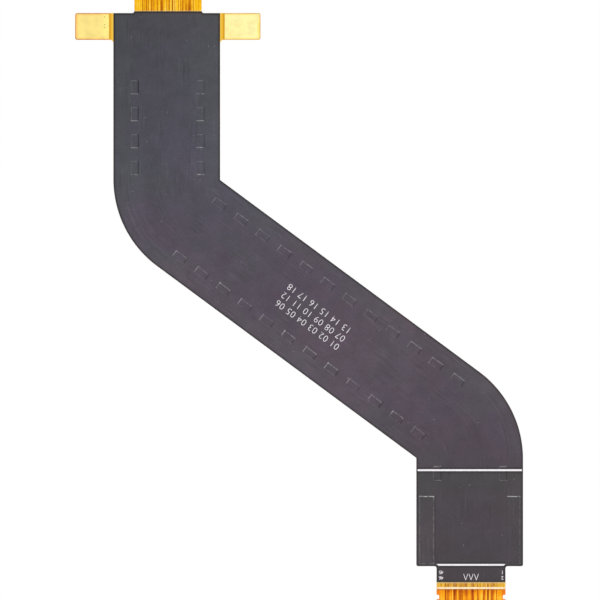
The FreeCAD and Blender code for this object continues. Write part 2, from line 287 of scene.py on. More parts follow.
# How far one side of a tip lies inside its width, at distances from its end
tip_profile = [
    (0, tip_length),
    (0, notch_from_tip + notch_width),
    (notch_depth - notch_chamfer, notch_from_tip + notch_width),
    (notch_depth, notch_from_tip + notch_width - notch_chamfer),
    (notch_depth, notch_from_tip + notch_chamfer),
    (notch_depth - notch_chamfer, notch_from_tip),
    (0, notch_from_tip),
    (0, tip_chamfer),
    (tip_chamfer, 0),
]


def tail_side(tail, body_edge, tip, neck_width, side, inset, whole):
    """Corners of one side of a tail, from its root to its end, or to its shoulder if it isn't whole."""
    out = 1 if tip > body_edge else -1
    neck = tail + side * (neck_width / 2 - inset)
    edge = tail + side * tip_width / 2
    corners = [(neck, body_edge - out * inset, tail_root_radius + inset), (neck, tip - out * tip_length, 0)]
    if whole:
        corners += [(edge - side * depth, tip - out * reach, 0) for depth, reach in tip_profile]
    return corners


def body_corners(inset, whole):
    """Outline of the body with its tails. Whole adds the contact tips and the covered roots of the tabs."""
    panel = (panel_tail, body_top, panel_tip, panel_neck_width)
    set_end = (set_tail, body_bottom, set_tip, set_neck_width)

    def shoulder(edge, side, cover_length):
        if not whole:
            return [(edge - side * inset, body_top - inset, 0)]
        end = edge + side * cover_length
        return [(end, body_top, 0), (end, tab_root, 0), (edge, tab_root, tab_root_radius)]

    corners = tail_side(*panel, -1, inset, whole)
    corners += reversed(tail_side(*panel, 1, inset, whole))
    corners += shoulder(upper_right, 1, right_tab_cover_length) + bend_corners(inset)
    corners += [(lower_right - inset, body_bottom + inset, body_corner_radius)]
    corners += tail_side(*set_end, 1, inset, whole)
    corners += reversed(tail_side(*set_end, -1, inset, whole))
    corners += [(lower_left + inset, body_bottom + inset, body_corner_radius)]
    corners += reversed(bend_corners(body_width - inset))
    return corners + shoulder(upper_left, -1, left_tab_cover_length)[::-1]


def clipped(loop, limit, side):
    """Part of a loop that lies below (side 1) or above (side -1) a height along Y."""
    kept = []
    for index, point in enumerate(loop):
        before = loop[index - 1]
        inside = side * (limit - point.y) >= 0
        if inside != (side * (limit - before.y) >= 0):
            kept.append(before.lerp(point, (limit - before.y) / (point.y - before.y)))
        if inside:
            kept.append(point)
    return kept


def windows():
    """Each ground window as its station, lane, half length, half width and painted edge highlights and shade.
    """
    sizes = (window_length / 2, window_width / 2)
    left_row = (body_width - left_window_inset, left_leg_edge_light, left_diagonal_edge_light)
    right_row = (right_window_inset, right_leg_edge_light, right_diagonal_edge_light)
    for lane, leg_edge_light, diagonal_edge_light in (left_row, right_row):
        for index in range(leg_windows):
            station = upper_bend_start - leg_window_gap - index * window_pitch
            yield station, lane, *sizes, leg_edge_light
        first = diagonal_start + (diagonal_length - (diagonal_windows - 1) * window_pitch) / 2
        for index in range(diagonal_windows):
            yield first + index * window_pitch, lane, *sizes, diagonal_edge_light
        yield lower_leg_start + fold_window_gap, lane, *sizes, fold_edge_light
    half = long_window_length / 2
    station = route_end - long_window_end_gap - half
    yield station, body_width - left_long_window_inset, half, left_long_window_width / 2, left_long_edge_light
    yield station, right_long_window_inset, half, right_long_window_width / 2, right_long_edge_light


def depth_inside(station, lane, window):
    """How far a place lies inside a window's rounded edge, negative outside."""
    middle, centre, half_length, half_width = window[:4]
    out_x = abs(station - middle) - half_length + window_corner_radius
    out_y = abs(lane - centre) - half_width + window_corner_radius
    outer = math.hypot(max(out_x, 0), max(out_y, 0))
    return window_corner_radius - outer - min(max(out_x, out_y), 0)


def window_ring(window, depth):
    """Closed ring of places inside a window's edge by a depth."""
    middle, centre, half_length, half_width = window[:4]
    radius = max(window_corner_radius - depth, least_ring_radius)
    turns = ((1, 1), (-1, 1), (-1, -1), (1, -1))
    loop = rounded_loop([(s * (half_length - depth), l * (half_width - depth), radius) for s, l in turns])
    return [route_point(middle + p.x, centre + p.y) for p in dense(loop, ring_step)]


def smooth(value):
    value = min(max(value, 0), 1)
    return value * value * (3 - 2 * value)


def wave(x, y):
    """Faint unevenness of a laminate that has been handled."""
    return wave_height * noise.noise(Vector((x, y, 0)) / wave_length)


def point_tree(loop):
    """Search tree of a loop's points, which gives the distance of a place to the loop."""
    tree = kdtree.KDTree(len(loop))
    for index, point in enumerate(loop):
        tree.insert((point.x, point.y, 0), index)
    tree.balance()
    return tree


def dense(loop, step):
    """The loop with extra points so that none lie further apart than a step."""
    found = []
    for index, point in enumerate(loop):
        after = loop[(index + 1) % len(loop)]
        pieces = max(1, math.ceil((after - point).length / step))
        found += [point.lerp(after, part / pieces) for part in range(pieces)]
    return found


def triangulated(loops, lines, points):
    """Triangles inside the first loop, with every loop and line as edges."""
    spots, edges = [], []
    for loop in loops:
        start = len(spots)
        spots += loop
        edges += [(start + index, start + (index + 1) % len(loop)) for index in range(len(loop))]
    for line in lines:
        start = len(spots)
        spots += line
        edges += [(start + index, start + index + 1) for index in range(len(line) - 1)]
    spots += points
    made = geometry.delaunay_2d_cdt(spots, edges, [], 1, merge_reach)
    return made[0], [tuple(face) for face in made[2]]


def placed(name, data):
    """New object of the scene."""
    made = bpy.data.objects.new(name, data)
    bpy.context.scene.collection.objects.link(made)
    return made


def closed_sheet(name, spots, faces, top, bottom, **traits):
    """Mesh object of a sheet between two height functions, with walls along its edges.

    Its map holds lane and station. Traits are functions of a place, whose numbers the mesh keeps by name.
    """
    used = sorted({index for face in faces for index in face})
    order = {old: new for new, old in enumerate(used)}
    flat = [spots[index] for index in used]
    count = len(flat)
    verts = [(p.x * MM, p.y * MM, level(p.x, p.y) * MM) for level in (top, bottom) for p in flat]
    upper = [tuple(order[index] for index in face) for face in faces]
    lower = [tuple(index + count for index in reversed(face)) for face in upper]
    directed = {(face[k], face[(k + 1) % len(face)]) for face in upper for k in range(len(face))}
    walls = [(b, a, a + count, b + count) for a, b in directed if (b, a) not in directed]
    mesh = bpy.data.meshes.new(name)
    mesh.from_pydata(verts, [], upper + lower + sorted(walls))
    route = mesh.uv_layers.new(name="route")
    places = [route_place(p.x, p.y) for p in flat]
    for loop in mesh.loops:
        station, lane = places[loop.vertex_index % count]
        route.data[loop.index].uv = (lane * MM, station * MM)
    for trait, number in traits.items():
        values = [number(p.x, p.y) for p in flat]
        mesh.attributes.new(trait, "FLOAT", "POINT").data.foreach_set("value", values + values)
    mesh.polygons.foreach_set("use_smooth", [True] * len(mesh.polygons))
    mesh.set_sharp_from_angle(angle=sharp_angle)
    mesh.validate()
    return placed(name, mesh)


def fill_points(avoid, loop_tree):
    """Grid of places along the strip, clear of the outline and of what avoid names."""
    found = []
    station = fill_spacing / 2
    while station < route_end:
        lane = fill_spacing / 2
        while lane < body_width:
            spot = route_point(station, lane)
            clear = loop_tree.find((spot.x, spot.y, 0))[2] > fill_spacing / 2
            if clear and not avoid(station, lane):
                found.append(spot)
            lane += fill_spacing
        station += fill_spacing
    return found


def film_outline(inset):
    """Loop around a shield film: the body and short lengths of both tails."""
    loop = rounded_loop(body_corners(inset, False))
    return dense(clipped(clipped(loop, film_high.y - inset, 1), film_low.y + inset, -1), route_step)


def film_loops():
    """Outline of a shield film with the loops of its rounded rim, and the search tree of the outline."""
    loops = [film_outline(inset) for inset in (0, *rim_rings)]
    return loops, point_tree(dense(loops[0], rim_width / 2))


def near_outline(tree, width, x, y):
    """How near a place is to the outline, from 1 on it to 0 at a width inside it."""
    return smooth(1 - tree.find((x, y, 0))[2] / width)


def front_film():
    """Black film of the front, pressed down through every window."""
    openings = list(windows())
    loops, tree = film_loops()
    rings = [window_ring(window, depth) for window in openings for depth in ring_depths]

    def near_window(station, lane):
        return any(depth_inside(station, lane, window) > -fill_clearance for window in openings)

    spots, faces = triangulated(loops + rings, [], fill_points(near_window, tree))

    @functools.cache
    def nearest(x, y):
        """Number of the nearest window, depth inside its wavering edge, and the place's station and lane."""
        station, lane = route_place(x, y)
        depths = [depth_inside(station, lane, window) for window in openings]
        index = depths.index(max(depths))
        waver = edge_wobble * noise.noise(Vector((x, y, 0)) / wobble_length)
        return index, depths[index] + waver, station, lane

    def top(x, y):
        inside = nearest(x, y)[1]
        level = film_top - wave_height + wave(x, y)
        level -= pocket_depth * smooth(inside / pocket_slope)
        level += pocket_lip * smooth(1 - abs(inside + lip_reach / 2) * 2 / lip_reach)
        return level - rim_drop * near_outline(tree, rim_width, x, y)

    def bottom(x, y):
        return top(x, y) - film_thickness

    def pressed(x, y):
        """How much a place lies on a pocket's wall."""
        return smooth(1 - abs(2 * nearest(x, y)[1] / pocket_slope - 1))

    def worn(x, y):
        """Painted highlight and shade along the step at a window's edge: above 0 a pale painted highlight,
        below 0 painted shade.
        """
        index, inside, station, lane = nearest(x, y)
        middle, centre, half_length, half_width, edge_lighting = openings[index]
        waver = inside - depth_inside(station, lane, openings[index])
        from_end = half_length - abs(station - middle) + waver
        from_side = half_width - abs(lane - centre) + waver
        sides = ("ahead" if station > middle else "behind", "left" if lane > centre else "right")
        total = 0
        for side, strength, depth in edge_lighting:
            if side not in sides:
                continue
            away, other = (from_end, from_side) if side in ("ahead", "behind") else (from_side, from_end)
            reach = highlight_reach if strength > 0 else shade_reach
            chance = noise.noise(Vector((index, strength, depth)) * edge_light_spread_step)
            share = smooth(1 - abs(away - depth) / reach) * smooth(other / edge_light_end_fade + edge_light_end_share)
            total += strength * (edge_light_base + edge_light_spread * chance) * share
        return total

    rim = functools.partial(near_outline, tree, rim_shade_width)
    return closed_sheet("front_film_sheet", spots, faces, top, bottom, pressed=pressed, worn=worn, rim=rim)


def ridge_lanes():
    """Lanes of the supply lines, from the right edge."""
    first = -(supply_count - 1) / 2
    return [field_lane - (first + index) * supply_pitch for index in range(supply_count)]


def ridge(lane):
    """Height share of the ridge that a supply line or the ground copper raises."""
    offset = abs(lane - field_lane)
    if offset > ground_edge:
        return smooth((offset - ground_edge) / ridge_slope)
    nearest = min(abs(lane - middle) for middle in ridge_lanes())
    return smooth((supply_width / 2 + ridge_slope - nearest) / ridge_slope)


def ridge_edges():
    """Lanes at the foot and the shoulder of every ridge."""
    lanes = []
    for middle in ridge_lanes():
        for reach in (supply_width / 2, supply_width / 2 + ridge_slope):
            lanes += [middle - reach, middle + reach]
    for reach in (ground_edge, ground_edge + ridge_slope):
        lanes += [field_lane - reach, field_lane + reach]
    return sorted(lanes)


def lane_line(lane, first, last):
    """Line along a lane between two stations."""
    pieces = max(1, math.ceil((last - first) / route_step))
    return [route_point(first + (last - first) * part / pieces, lane) for part in range(pieces + 1)]


def rear_film():
    """Black film of the rear, with the ridges of the lines that it covers."""
    loops, tree = film_loops()
    lines = [lane_line(lane, rim_width, route_end + film_reach_set - rim_width) for lane in ridge_edges()]
    spots, faces = triangulated(loops, lines, [])

    def bottom(x, y):
        lane = route_place(x, y)[1]
        return ridge_height * (1 - ridge(lane)) + wave_height + wave(x, y)

    def top(x, y):
        return rear_film_high

    rim = functools.partial(near_outline, tree, rim_shade_width)
    return closed_sheet("rear_film_sheet", spots, faces, top, bottom, rim=rim)


def front_cover():
    """Amber cover film of the front, with its windows, and with ridges along both tails."""
    edge = dense(rounded_loop(body_corners(0, True)), route_step)
    openings = list(windows())
    rings = [window_ring(window, 0) for window in openings]
    panel_run = (body_top - panel_tip + tip_clearance, -panel_ridge_gap)
    set_run = (route_end + set_ridge_gap, route_end + body_bottom - set_tip - tip_clearance)
    lines = [lane_line(lane, *run) for lane in ridge_edges() for run in (panel_run, set_run)]
    spots, faces = triangulated([edge] + rings, lines, [])

    def open_at(face):
        middle = sum((spots[index] for index in face), Vector((0, 0))) / len(face)
        station, lane = route_place(middle.x, middle.y)
        return any(depth_inside(station, lane, window) > 0 for window in openings)

    faces = [face for face in faces if not open_at(face)]

    def top(x, y):
        if body_bottom - set_flat_reach < y < body_top + panel_flat_reach:
            return cover_high.z
        return cover_high.z - ridge_height * (1 - ridge(route_place(x, y)[1]))

    def bottom(x, y):
        return cover_low.z

    return closed_sheet("front_cover_sheet", spots, faces, top, bottom)


# Noise patterns: turns in a metre, or along each axis, detail and roughness, then the part of the noise that
# counts and the numbers at its two ends
patterns = {
    "film hue": (70, 3.0, 0.6),
    "film patches": ((95, 95, 3800), 2.0, 0.5, 0.44, 0.66),
    "film mottling": (230, 4.0, 0.65, 0.3, 0.7, 0.9, 1.1),
    "film grain": (4600, 3.0, 0.7, 0.25, 0.75, 0.8, 1.2),
    "film streaks": ((2600, 130, 1), 2.0, 0.6),
    "film streak places": ((260, 120, 1), 2.0, 0.5, 0.46, 0.62),
    "film waves": (430, 3.0, 0.6),
    "film texture": (9000, 2.0, 0.6),
    "film roughness": (320, 3.0, 0.6, 0.3, 0.7, 0.36, 0.46),
    "bare rim": (60, 2.0, 0.5, 0.5, 0.7, 0.0, 0.4),
    "broken edge highlight": (1300, 2.0, 0.6, 0.36, 0.6, 0.0425, 0.221),
    "dust": (1500, 0.0, 0.5, 0.83, 0.88, 0.0, 0.35),
    "scratches": ((2600, 700, 1), 1.0, 0.5, 0.8, 0.83, 0.0, 0.1925),
    "broad lines": ((1500, 30, 1), 0.0, 0.5, 0.3, 0.7, -0.22, 0.22),
    "thin lines": ((4300, 90, 1), 0.0, 0.5, 0.3, 0.7, -0.26, 0.26),
    "cover mottling": (1200, 3.0, 0.6, 0.3, 0.7, -0.06, 0.06),
    "cover streaks": ((5200, 700, 1), 1.0, 0.6, 0.36, 0.64),
    "cover texture": (1600, 2.0, 0.5),
    "cover roughness": (700, 2.0, 0.5, 0.3, 0.7, 0.26, 0.38),
    "gold stains": (230, 3.0, 0.6, 0.42, 0.75, 0.0, 0.26),
    "gold rim": (300, 2.0, 0.5, 0.3, 0.7, 0.3, 0.9),
    "gold waves": (260, 2.0, 0.5),
    "gold texture": (6500, 2.0, 0.6),
    "gold roughness": (600, 3.0, 0.6, 0.3, 0.7, 0.38, 0.48),
    "copper tones": ((9000, 900, 1), 3.0, 0.6, 0.3, 0.7),
    "copper roughness": ((9000, 900, 1), 3.0, 0.6, 0.3, 0.7, 0.26, 0.4),
    "copper texture": ((9000, 900, 1), 3.0, 0.6),
    "thin ink": (2600, 3.0, 0.65, 0.3, 0.75),
    "tinted ink": ((900, 60, 1), 2.0, 0.6, 0.4, 0.6),
    "ink texture": (4200, 2.0, 0.6),
    "carrier mottling": (1400, 3.0, 0.6, 0.3, 0.7),
    "carrier stains": (260, 2.0, 0.5, 0.44, 0.6, 0.0, 0.4),
    "carrier texture": (3000, 2.0, 0.5),
}


# Heights in millimetres of the patterns that are relief
relief_heights = {
    "film waves": 0.021,
    "film texture": 0.0025,
    "cover texture": 0.006,
    "gold waves": 0.01,
    "gold texture": 0.0005,
    "copper texture": 0.002,
    "ink texture": 0.004,
    "carrier texture": 0.003,
}


def joined(tree, socket, value):
    """Links a socket to another one, or sets it."""
    if isinstance(value, bpy.types.NodeSocket):
        tree.links.new(value, socket)
    else:
        socket.default_value = value


def new_node(tree, kind, *values, **settings):
    """Node with its settings, and with values for its first inputs."""
    node = tree.nodes.new("ShaderNode" + kind)
    for setting, value in settings.items():
        setattr(node, setting, value)
    for socket, value in zip(node.inputs, values):
        joined(tree, socket, value)
    return node


class Shader:
    """A material with one Principled shader, and short calls for the nodes before it."""

    def __init__(self, name, metallic=0.0, specular=0.5):
        self.material = bpy.data.materials.new(name)
        self.material.use_nodes = True
        self.tree = self.material.node_tree
        self.surface = self.tree.nodes["Principled BSDF"]
        self.put(self.surface, Metallic=metallic)
        self.surface.inputs["Specular IOR Level"].default_value = specular
        self.place = self.node("TexCoord").outputs["Object"]
        self.x, self.y = self.node("SeparateXYZ", self.place).outputs[:2]

    def node(self, kind, *values, **settings):
        return new_node(self.tree, kind, *values, **settings)

    def put(self, node, **values):
        """Sets or links inputs of a node by name."""
        for name, value in values.items():
            joined(self.tree, node.inputs[name], value)
        return node

    def math(self, operation, first, second=0.0, third=0.0):
        return self.node("Math", first, second, third, operation=operation).outputs[0]

    def times(self, first, second):
        return self.math("MULTIPLY", first, second)

    def apart(self, value, place):
        """Distance between two numbers."""
        return self.math("ABSOLUTE", self.math("SUBTRACT", value, place))

    def between(self, value, low, high):
        """How far a length lies inside the nearer of two limits in millimetres."""
        from_low = self.math("SUBTRACT", value, low * MM)
        return self.math("MINIMUM", from_low, self.math("SUBTRACT", high * MM, value))

    def away_from(self, x, y, z):
        """Distance of the surface from a place in millimetres."""
        place = (x * MM, y * MM, z * MM)
        return self.node("VectorMath", self.place, place, operation="DISTANCE").outputs["Value"]

    def span(self, value, low, high, to_low=0.0, to_high=1.0, soft=True):
        """Value from low to high as a number from to_low to to_high."""
        kind = "SMOOTHSTEP" if soft else "LINEAR"
        return self.node("MapRange", value, low, high, to_low, to_high, interpolation_type=kind).outputs[0]

    def reach(self, value, low, high, *ends, soft=True):
        """Span of a length between two limits in millimetres."""
        return self.span(value, low * MM, high * MM, *ends, soft=soft)

    def pattern(self, name, place=None, warp=0.0):
        """Noise pattern of this name, over the surface or another place."""
        turns, detail, roughness, *ends = patterns[name]
        place = place or self.place
        if isinstance(turns, tuple):
            place, turns = self.put(self.node("Mapping", place), Scale=turns).outputs[0], 1.0
        node = self.node("TexNoise", place)
        self.put(node, Scale=turns, Detail=detail, Roughness=roughness, Distortion=warp)
        return self.span(node.outputs["Fac"], *ends) if ends else node.outputs["Fac"]

    def relief(self, name, under=None, extra=0.0):
        """Normals of a pattern as relief, over a coarser one and with extra height."""
        node = self.node("Bump")
        self.put(node, Height=self.math("ADD", self.pattern(name), extra), Distance=relief_heights[name] * MM)
        return self.put(node, Normal=under).outputs[0] if under else node.outputs[0]

    def ramp(self, value, stops):
        node = self.node("ValToRGB", value)
        elements = node.color_ramp.elements
        while len(elements) < len(stops):
            elements.new(1.0)
        for element, (position, colour) in zip(elements, stops):
            element.position = position
            element.color = linear(colour)
        return node.outputs[0]

    def mix(self, factor, first, second):
        node = self.node("Mix", factor, data_type="RGBA")
        for name, value in (("A", first), ("B", second)):
            socket = next(s for s in node.inputs if s.name == name and s.type == "RGBA")
            joined(self.tree, socket, linear(value) if isinstance(value, tuple) else value)
        return next(s for s in node.outputs if s.type == "RGBA")

    def tinted(self, factor, colour, tint):
        """Colour that a tint multiplies as far as a factor says."""
        product = self.node("VectorMath", colour, linear(tint)[:3], operation="MULTIPLY")
        return self.mix(factor, colour, product.outputs[0])

    def trait(self, name):
        """Number that the mesh keeps for each place under this name."""
        return self.node("Attribute", attribute_name=name).outputs["Fac"]

    def finish(self, colour, normal, roughness):
        self.put(self.surface, Normal=normal, Roughness=roughness)
        joined(self.tree, self.surface.inputs["Base Color"], colour)
        return self.material


def linear(colour):
    """Scene colour of an sRGB colour with parts from 0 to 255."""
    parts = []
    for value in colour:
        share = value / 255
        parts.append(share / 12.92 if share <= 0.04045 else ((share + 0.055) / 1.055) ** 2.4)
    return (*parts, 1.0)


def near_line(s, place, reach, core=0.0):
    """1 as far as a core from a line across the cable, falling to 0 at a reach from it."""
    return s.reach(s.apart(s.y, place * MM), core, reach, 1.0, 0.0)


def from_tail_middle(s):
    """Place of the surface along X from the middle line of the tail that it belongs to."""
    upper = s.math("GREATER_THAN", s.y, 0.0)
    middle = s.math("MULTIPLY_ADD", upper, (panel_tail - set_tail) * MM, set_tail * MM)
    return s.math("SUBTRACT", s.x, middle)


# Changes over the shield film: limits in millimetres and the numbers there
greener_sides = (5.0, 11.0, -0.07, 0.12)
green_hues = (0.42, 0.64)
warmer_end = (-4.0, 18.0, 1.3, 0.35)
paler_sides = (3.5, 10.5, 0.97, 1.07)
leg_slope = (upper_left, upper_right, -0.1, 0.12)
leg_run = (upper_bend - 6.0, upper_bend + 8.0)
# Painted shade along the rim where the film meets the tab roots
tab_root_shade = (tab_root - 0.2, tab_root + 0.2, 0.0, -0.75)
tail_line_end = (set_neck_width / 2 - 0.1, set_neck_width / 2 + 0.3, 1.0, 0.0)
pale_low_end = (body_bottom, body_bottom + 16.0, 0.27, 0.0)
left_long_side = (body_width - 4.6, body_width - 3.9)

# Softly shaded spots of the shield film: place, reach and share of the light
shade_spots = (((33.5, -13.8), 13.0, 0.84), ((-24.5, 5.0), 10.0, 1.1), ((11.5, -23.5), 9.0, 1.1))

# Shares and tones of what marks the shield film
# Painted shade beside the printed white lines
line_shade = (0.88, 0.48)
line_change = -0.5
streak_middle = 0.5
streak_change = 1.1
streak_relief = 2.0
# Painted shade along the film's rim
rim_shade_change = -0.85
# Painted shade on the pocket walls
pocket_wall_shade = -0.12
pressed_gloss = -0.16
scratch_warp = 0.6
green_tint = (250, 260, 247)
warm_tint = (261, 249, 252)
bare_rim_tone = (104, 62, 56)
edge_highlight_tone = (188, 187, 186)
mark_tone = (150, 146, 152)


def film_material(name, tones, printed):
    """Satin black shield film: grain, mottling, streaks over the lines, painted highlights and shade at the
    window edges, and painted shade along the rim and on the pocket walls.

    Tones are the colours along the cable, from the set tail up. Printed film is dark with painted shade
    beside its white lines, and pale in the lower end of its left long window.
    """
    s = Shader(name, specular=0.3)
    route = s.node("UVMap", uv_map="route").outputs[0]
    lane = s.node("SeparateXYZ", route).outputs[0]
    from_middle = s.apart(lane, body_width / 2 * MM)
    rim, pressed, worn = s.trait("rim"), s.trait("pressed"), s.trait("worn")

    tone = s.ramp(s.reach(s.y, film_low.y, film_high.y, soft=False), tones)
    hue = s.math("ADD", s.pattern("film hue"), s.reach(from_middle, *greener_sides))
    tone = s.tinted(s.span(hue, *green_hues), tone, green_tint)
    tone = s.tinted(s.times(s.pattern("film patches"), s.reach(s.y, *warmer_end)), tone, warm_tint)
    tone = s.mix(s.times(rim, s.pattern("bare rim")), tone, bare_rim_tone)

    streak = s.math("SUBTRACT", s.pattern("film streaks", route), streak_middle)
    streak = s.times(streak, s.pattern("film streak places", route))
    # Changes of level: the rim, the rim at the tab roots, the pocket walls and window edges below 0 are
    # painted shade
    changes = [
        (streak, streak_change),
        (rim, rim_shade_change),
        (s.times(rim, rim), s.reach(s.y, *tab_root_shade)),
        (pressed, pocket_wall_shade),
        (s.math("MINIMUM", worn, 0.0), 1.0),
    ]
    on_leg = s.times(s.reach(s.x, *leg_slope, soft=False), s.reach(s.y, *leg_run))
    level = s.math("ADD", on_leg, s.reach(from_middle, *paler_sides))
    level = s.times(level, s.times(s.pattern("film mottling"), s.pattern("film grain")))
    for place, size, share in shade_spots:
        level = s.times(level, s.reach(s.away_from(*place, film_top), 0.0, size, share, 1.0))
    if printed:
        on_tail = s.reach(s.math("ABSOLUTE", from_tail_middle(s)), *tail_line_end)
        at_tail = s.times(near_line(s, tail_line_middle, *line_shade), on_tail)
        at_lines = s.math("MAXIMUM", near_line(s, fold_line_middle, *line_shade), at_tail)
        changes += [(at_lines, line_change), (s.reach(s.y, *pale_low_end), s.reach(lane, *left_long_side))]
    for where, change in changes:
        level = s.times(level, s.math("MULTIPLY_ADD", where, change, 1.0))
    tone = s.put(s.node("VectorMath", tone, operation="SCALE"), Scale=level).outputs[0]

    # Painted highlight along the window edges, broken up by noise
    edge_highlight = s.times(s.math("MAXIMUM", worn, 0.0), s.pattern("broken edge highlight"))
    tone = s.mix(edge_highlight, tone, edge_highlight_tone)
    marks = s.math("MAXIMUM", s.pattern("dust"), s.pattern("scratches", warp=scratch_warp))
    tone = s.mix(marks, tone, mark_tone)

    normal = s.relief("film texture", s.relief("film waves", extra=s.times(streak, streak_relief)))
    roughness = s.math("MULTIPLY_ADD", pressed, pressed_gloss, s.pattern("film roughness"))
    return s.finish(tone, normal, roughness)


# Brightness that supply lines, signal lines and ground copper add to the amber over them
line_lifts = (0.22, 0.12, 0.34)
line_chance = (-0.1, 0.16)
ground_calm = 0.6
signal_width = 0.02
signal_fade = 0.05

# Changes over the cover films and stiffeners: limits in millimetres and the numbers there
below_line = (set_line_low - 2.0, set_line_low, 0.05, -0.2)
dull_tail = (-1.0, 0.0, 0.42, 0.0)
pale_share = 0.62
set_pale_reach = 0.5
panel_pale_reach = 0.32
tab_cover = (body_width / 2, body_width / 2 + left_tab_cover_length)
red_sides = (tip_width / 2 - 1.1, tip_width / 2 - 0.2, 0.0, 0.6)
copper_relief = 0.6
dull_tones = ((112, 78, 24), (216, 178, 104))
pale_tone = (206, 184, 140)
red_tone = (234, 102, 40)
# Amber over the tab roots, with a painted shade line at the step to the gold pads
tab_cover_tones_and_step_shade = [
    (0.0, (246, 204, 88)), (0.45, (246, 190, 58)), (0.8, (216, 160, 34)),
    (1.0, (226, 166, 40)),
]


def line_pattern(s, soft):
    """Shares of supply lines, signal lines and ground copper, and a random number for each line."""
    offset = from_tail_middle(s)
    turns = s.math("ADD", s.math("DIVIDE", offset, supply_pitch * MM), 0.5)
    number = s.math("ROUND", turns)
    away = s.times(s.apart(turns, number), supply_pitch)
    supply = s.span(away, supply_width / 2 - soft, supply_width / 2 + soft, 1.0, 0.0)
    signal = s.span(s.apart(away, signal_from_supply), signal_width, signal_fade + soft, 1.0, 0.0)
    ground = s.reach(s.math("ABSOLUTE", offset), ground_edge - soft, ground_edge + soft)
    white = s.put(s.node("TexWhiteNoise", noise_dimensions="1D"), W=number)
    inside = s.math("SUBTRACT", 1.0, ground)
    return s.times(supply, inside), s.times(signal, inside), ground, s.times(white.outputs["Value"], inside)


def cover_material(name, tones, soft, bias, contrast, covered):
    """Amber polyimide over copper: the lines show through, brighter where the copper lies.

    Tones go from the deepest gap to the brightest line. Covered film is dull and pale at the ends of the
    shield film, and brighter over the roots of the tabs, with a painted shade line at the step to the pads.
    """
    s = Shader(name, specular=0.06)
    supply, signal, ground, chance = line_pattern(s, soft)
    level = bias
    for mask, lift in zip((supply, signal, ground), line_lifts):
        level = s.math("MULTIPLY_ADD", mask, lift, level)
    wander = s.math("ADD", s.pattern("broad lines"), s.pattern("thin lines"))
    wander = s.math("ADD", wander, s.span(chance, 0.0, 1.0, *line_chance))
    calm = s.math("MULTIPLY_ADD", ground, -ground_calm * contrast, contrast)
    level = s.math("MULTIPLY_ADD", wander, calm, level)
    level = s.math("ADD", level, s.pattern("cover mottling"))
    if covered:
        tone = s.ramp(level, tones)
        streaks = s.mix(s.pattern("cover streaks"), *dull_tones)
        tone = s.mix(s.reach(s.y, *dull_tail), tone, streaks)
        set_pale = near_line(s, film_low.y, set_pale_reach)
        pale = s.math("MAXIMUM", set_pale, near_line(s, film_high.y, panel_pale_reach))
        tone = s.mix(s.times(pale, pale_share), tone, pale_tone)
        from_leg = s.apart(s.x, (upper_left + upper_right) / 2 * MM)
        out = s.reach(from_leg, *tab_cover, soft=False)
        at_tab = s.times(s.math("GREATER_THAN", s.y, 0.0), s.math("GREATER_THAN", out, 0.0))
        tone = s.mix(at_tab, tone, s.ramp(out, tab_cover_tones_and_step_shade))
    else:
        tone = s.ramp(s.math("ADD", level, s.reach(s.y, *below_line)), tones)
        at_sides = s.reach(s.math("ABSOLUTE", from_tail_middle(s)), *red_sides)
        tone = s.mix(at_sides, tone, red_tone)
    copper = s.times(s.math("MAXIMUM", supply, ground), copper_relief)
    return s.finish(tone, s.relief("cover texture", extra=copper), s.pattern("cover roughness"))


# Gold pads of the tabs: pinholes, limits in millimetres and the numbers there
pinholes = ((-43.76, 61.6), (-43.76, 59.9), (-43.76, 59.2))
pinhole_span = (0.05, 0.16, 0.8, 0.0)
# Painted highlight on the left pad by the cover film's edge
root_highlight = (left_pad[1].x - 1.6, left_pad[1].x - 0.7, 0.0, 0.6)
warm_ends = (0.0, 0.8, 1.0, 0.0)
warm_sides = (0.0, 0.5, 0.8, 0.0)
gold_tones = ((243, 221, 136), (246, 235, 166))
warm_rim_tones = ((246, 192, 98), (238, 212, 100))
gold_stain_tone = (238, 210, 118)
root_highlight_tone = (249, 236, 142)
pinhole_tone = (120, 84, 30)


def gold_material(name, pads):
    """Matt immersion gold with fine grain and faint stains.

    Pads have warmer rims, a painted highlight band at the root of the left one and a few pinholes.
    """
    s = Shader(name, metallic=1.0)
    side = s.reach(s.x, upper_left, upper_right)
    tone = s.mix(s.pattern("gold stains"), s.mix(side, *gold_tones), gold_stain_tone)
    if pads:
        at_left = s.math("LESS_THAN", s.x, upper_left * MM)
        tone = s.mix(s.times(s.reach(s.x, *root_highlight), at_left), tone, root_highlight_tone)
        at_ends = s.reach(s.between(s.x, left_pad[0].x, right_pad[1].x), *warm_ends)
        at_sides = s.reach(s.between(s.y, left_pad[0].y, left_pad[1].y), *warm_sides)
        rim = s.times(s.math("MAXIMUM", at_ends, at_sides), s.pattern("gold rim"))
        tone = s.mix(rim, tone, s.mix(side, *warm_rim_tones))
        for place in pinholes:
            hole = s.reach(s.away_from(*place, left_pad[1].z), *pinhole_span)
            tone = s.mix(hole, tone, pinhole_tone)
    return s.finish(tone, s.relief("gold texture", s.relief("gold waves")), s.pattern("gold roughness"))


# Printed ink and carrier film
ink_roughness = 0.55
carrier_roughness = 0.35
carrier_tones = ((214, 128, 30), (236, 158, 46))
carrier_stain_tone = (160, 92, 30)
right_tab_tone = (236, 196, 96)
right_tab_span = (upper_right, upper_right + 1.0, 0.0, 0.7)


def copper_material(name):
    """Bare rolled copper with grain along the lines."""
    s = Shader(name, metallic=1.0)
    tone = s.mix(s.pattern("copper tones"), (226, 142, 96), (242, 170, 122))
    return s.finish(tone, s.relief("copper texture"), s.pattern("copper roughness"))


